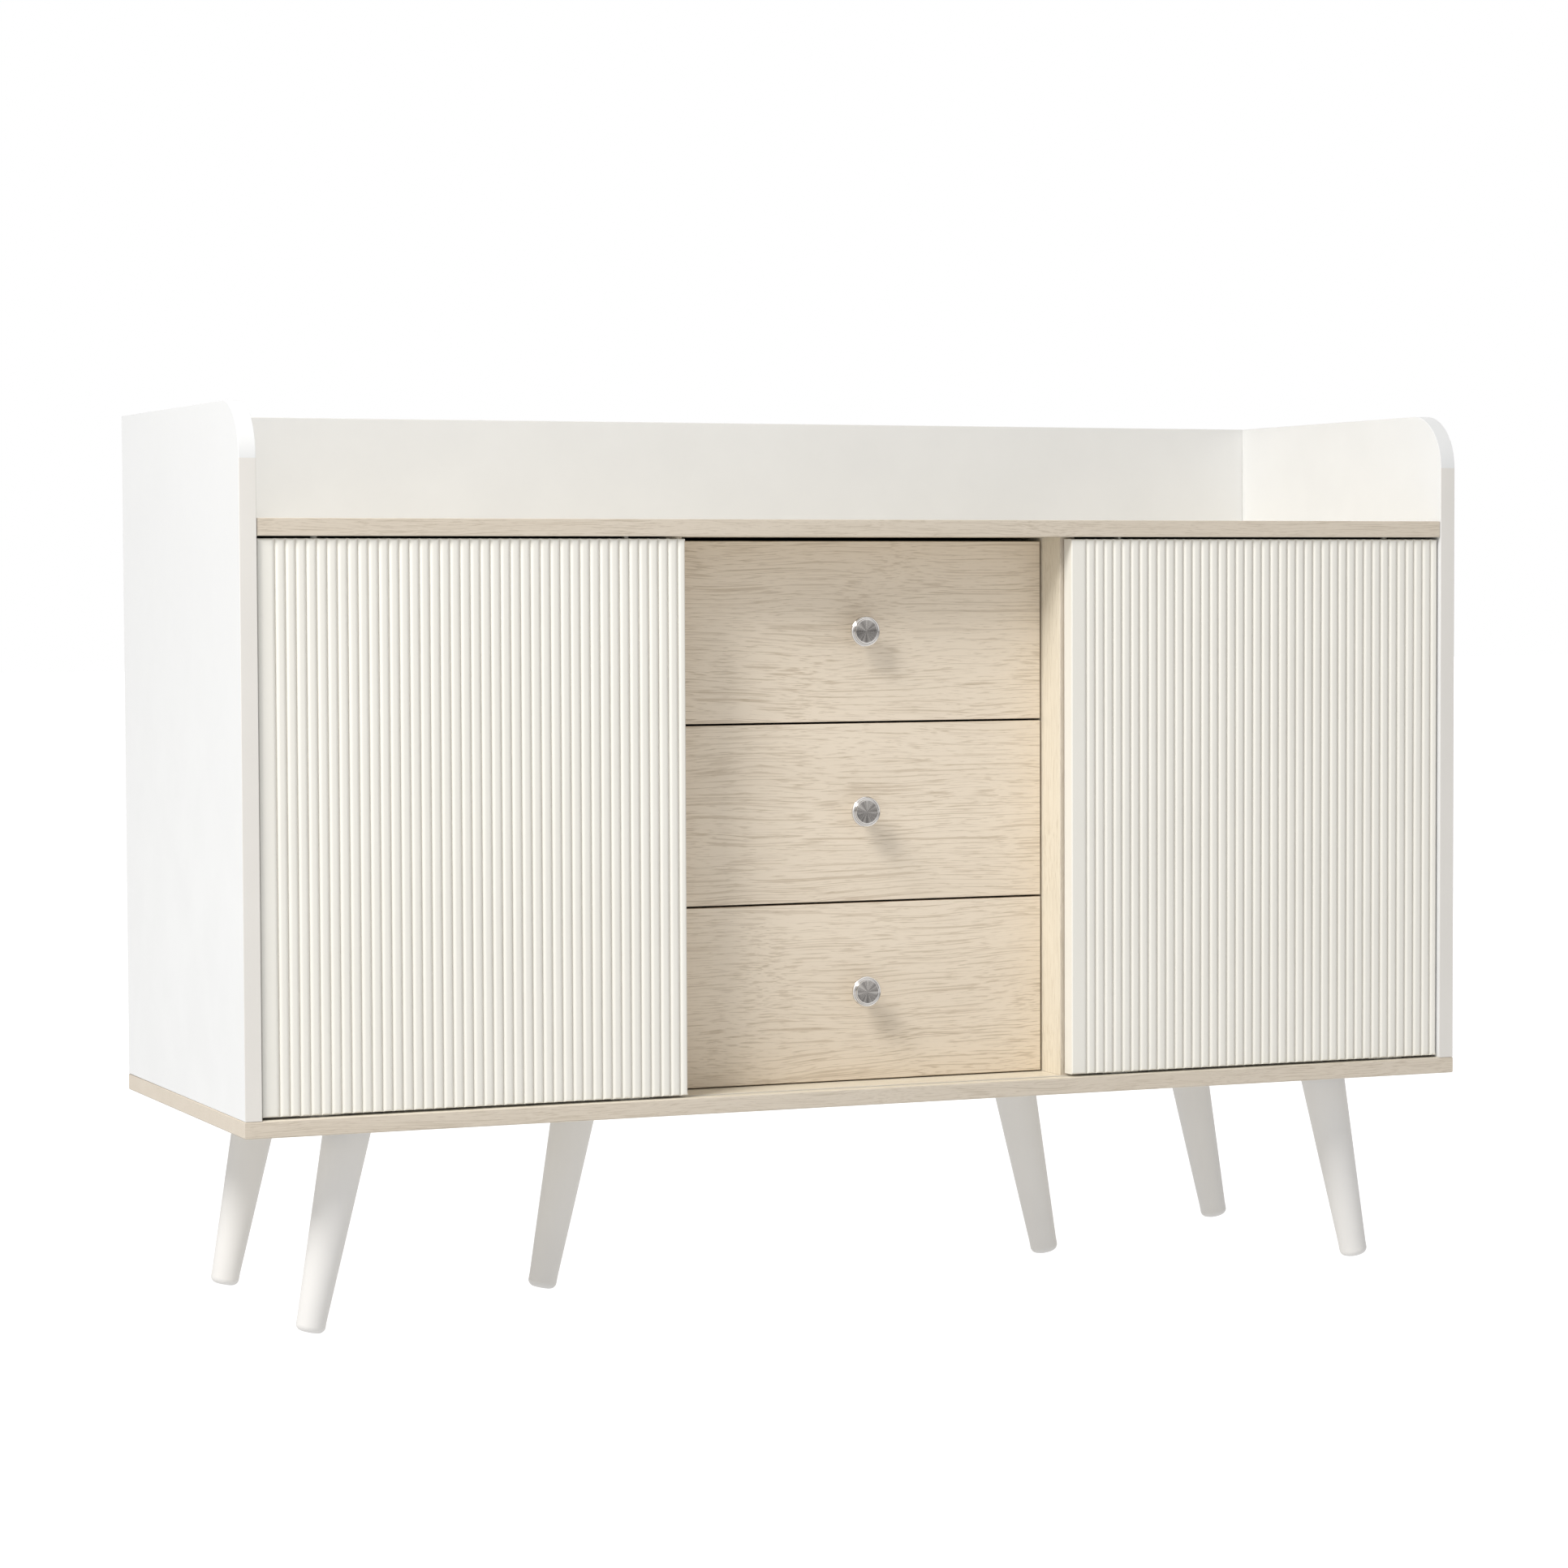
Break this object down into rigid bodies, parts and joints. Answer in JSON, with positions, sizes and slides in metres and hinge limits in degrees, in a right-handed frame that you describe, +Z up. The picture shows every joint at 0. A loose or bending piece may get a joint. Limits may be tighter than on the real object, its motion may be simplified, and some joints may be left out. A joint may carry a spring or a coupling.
{
  "type": "sideboard",
  "caption": "Long low sideboard with a raised gallery: two ribbed doors sliding in one track, three centre drawers set back on ball-bearing runners, and splayed tapered legs.",
  "frame": {"origin": "on the floor under the middle of the footprint", "axes": "+X to the right along the length, +Y from the front to the back, +Z up"},
  "size_m": [1.18, 0.4, 0.8],
  "materials": {
    "white_board": "satin melamine",
    "oak_board": "matt oak-grain melamine",
    "drawer_front_oak": "matt oak-grain melamine, grain across",
    "door_foil": "satin foil on a ribbed panel",
    "leg_paint": "satin lacquer",
    "hardboard": "matt",
    "drawer_box_board": "matt",
    "beech": "raw",
    "zinc_steel": "zinc plated",
    "cam_zinc": "die cast",
    "knob_steel": "brushed face, polished rim",
    "track_plastic": "matt",
    "nylon": "matt"
  },
  "bodies": {
    "carcass": {"base_board": "oak_board", "top_board": "oak_board", "gallery_back": "white_board", "back_panel": "hardboard", "back_panel_screws": "zinc_steel", "shelf_pins": "zinc_steel", "bottom_track": "track_plastic", "cam_locks": "cam_zinc", "cam_bolts": "zinc_steel", "wood_dowels": "beech", "leg_plates": "zinc_steel", "leg_plate_screws": "zinc_steel", "leg_bolts": "zinc_steel", "cabinet_runners": "zinc_steel", "side_panel_left": "white_board", "partition_left": "oak_board", "shelf_left": "oak_board", "leg_front_left": "leg_paint", "leg_middle_left": "leg_paint", "leg_back_left": "leg_paint", "side_panel_right": "white_board", "partition_right": "oak_board", "shelf_right": "oak_board", "leg_front_right": "leg_paint", "leg_middle_right": "leg_paint", "leg_back_right": "leg_paint"},
    "door_left": {"door_left_panel": "door_foil", "door_left_roller_housings": "nylon", "door_left_top_guides": "nylon"},
    "door_left_roller_inner": {"door_left_roller_inner": "nylon"},
    "door_left_roller_outer": {"door_left_roller_outer": "nylon"},
    "door_right": {"door_right_panel": "door_foil", "door_right_roller_housings": "nylon", "door_right_top_guides": "nylon"},
    "door_right_roller_inner": {"door_right_roller_inner": "nylon"},
    "door_right_roller_outer": {"door_right_roller_outer": "nylon"},
    "drawer_bottom": {"drawer_bottom_front": "drawer_front_oak", "drawer_bottom_sides": "drawer_box_board", "drawer_bottom_back": "drawer_box_board", "drawer_bottom_bottom": "hardboard", "drawer_bottom_knob": "knob_steel", "drawer_bottom_knob_screw": "zinc_steel", "drawer_bottom_runners": "zinc_steel"},
    "drawer_bottom_ball_cages": {"drawer_bottom_ball_cages": "zinc_steel"},
    "drawer_middle": {"drawer_middle_front": "drawer_front_oak", "drawer_middle_sides": "drawer_box_board", "drawer_middle_back": "drawer_box_board", "drawer_middle_bottom": "hardboard", "drawer_middle_knob": "knob_steel", "drawer_middle_knob_screw": "zinc_steel", "drawer_middle_runners": "zinc_steel"},
    "drawer_middle_ball_cages": {"drawer_middle_ball_cages": "zinc_steel"},
    "drawer_top": {"drawer_top_front": "drawer_front_oak", "drawer_top_sides": "drawer_box_board", "drawer_top_back": "drawer_box_board", "drawer_top_bottom": "hardboard", "drawer_top_knob": "knob_steel", "drawer_top_knob_screw": "zinc_steel", "drawer_top_runners": "zinc_steel"},
    "drawer_top_ball_cages": {"drawer_top_ball_cages": "zinc_steel"}
  },
  "joints": [
    {"name": "door_left_slide", "type": "slide", "parent": "carcass", "child": "door_left", "axis": [1, 0, 0], "range_m": [0, 0.1875]},
    {"name": "door_left_roller_inner_spin", "type": "hinge", "parent": "door_left", "child": "door_left_roller_inner", "pos_m": [-0.2405, -0.186, 0.1965], "axis": [0, 1, 0], "range_deg": [0, 1200]},
    {"name": "door_left_roller_outer_spin", "type": "hinge", "parent": "door_left", "child": "door_left_roller_outer", "pos_m": [-0.5215, -0.186, 0.1965], "axis": [0, 1, 0], "range_deg": [0, 1200]},
    {"name": "door_right_slide", "type": "slide", "parent": "carcass", "child": "door_right", "axis": [-1, 0, 0], "range_m": [0, 0.1875]},
    {"name": "door_right_roller_inner_spin", "type": "hinge", "parent": "door_right", "child": "door_right_roller_inner", "pos_m": [0.2405, -0.186, 0.1965], "axis": [0, -1, 0], "range_deg": [0, 1200]},
    {"name": "door_right_roller_outer_spin", "type": "hinge", "parent": "door_right", "child": "door_right_roller_outer", "pos_m": [0.5215, -0.186, 0.1965], "axis": [0, -1, 0], "range_deg": [0, 1200]},
    {"name": "drawer_bottom_slide", "type": "slide", "parent": "carcass", "child": "drawer_bottom", "axis": [0, 1, 0], "range_m": [-0.225, 0]},
    {"name": "drawer_bottom_cage_slide", "type": "slide", "parent": "carcass", "child": "drawer_bottom_ball_cages", "axis": [0, 1, 0], "range_m": [-0.1125, 0]},
    {"name": "drawer_middle_slide", "type": "slide", "parent": "carcass", "child": "drawer_middle", "axis": [0, 1, 0], "range_m": [-0.225, 0]},
    {"name": "drawer_middle_cage_slide", "type": "slide", "parent": "carcass", "child": "drawer_middle_ball_cages", "axis": [0, 1, 0], "range_m": [-0.1125, 0]},
    {"name": "drawer_top_slide", "type": "slide", "parent": "carcass", "child": "drawer_top", "axis": [0, 1, 0], "range_m": [-0.225, 0]},
    {"name": "drawer_top_cage_slide", "type": "slide", "parent": "carcass", "child": "drawer_top_ball_cages", "axis": [0, 1, 0], "range_m": [-0.1125, 0]}
  ],
  "couplings": [
    {"joint": "door_left_roller_inner_spin", "follows": "door_left_slide", "rad_per_m": 111.11},
    {"joint": "door_left_roller_outer_spin", "follows": "door_left_slide", "rad_per_m": 111.11},
    {"joint": "door_right_roller_inner_spin", "follows": "door_right_slide", "rad_per_m": 111.11},
    {"joint": "door_right_roller_outer_spin", "follows": "door_right_slide", "rad_per_m": 111.11},
    {"joint": "drawer_bottom_cage_slide", "follows": "drawer_bottom_slide", "ratio": 0.5},
    {"joint": "drawer_middle_cage_slide", "follows": "drawer_middle_slide", "ratio": 0.5},
    {"joint": "drawer_top_cage_slide", "follows": "drawer_top_slide", "ratio": 0.5}
  ]
}
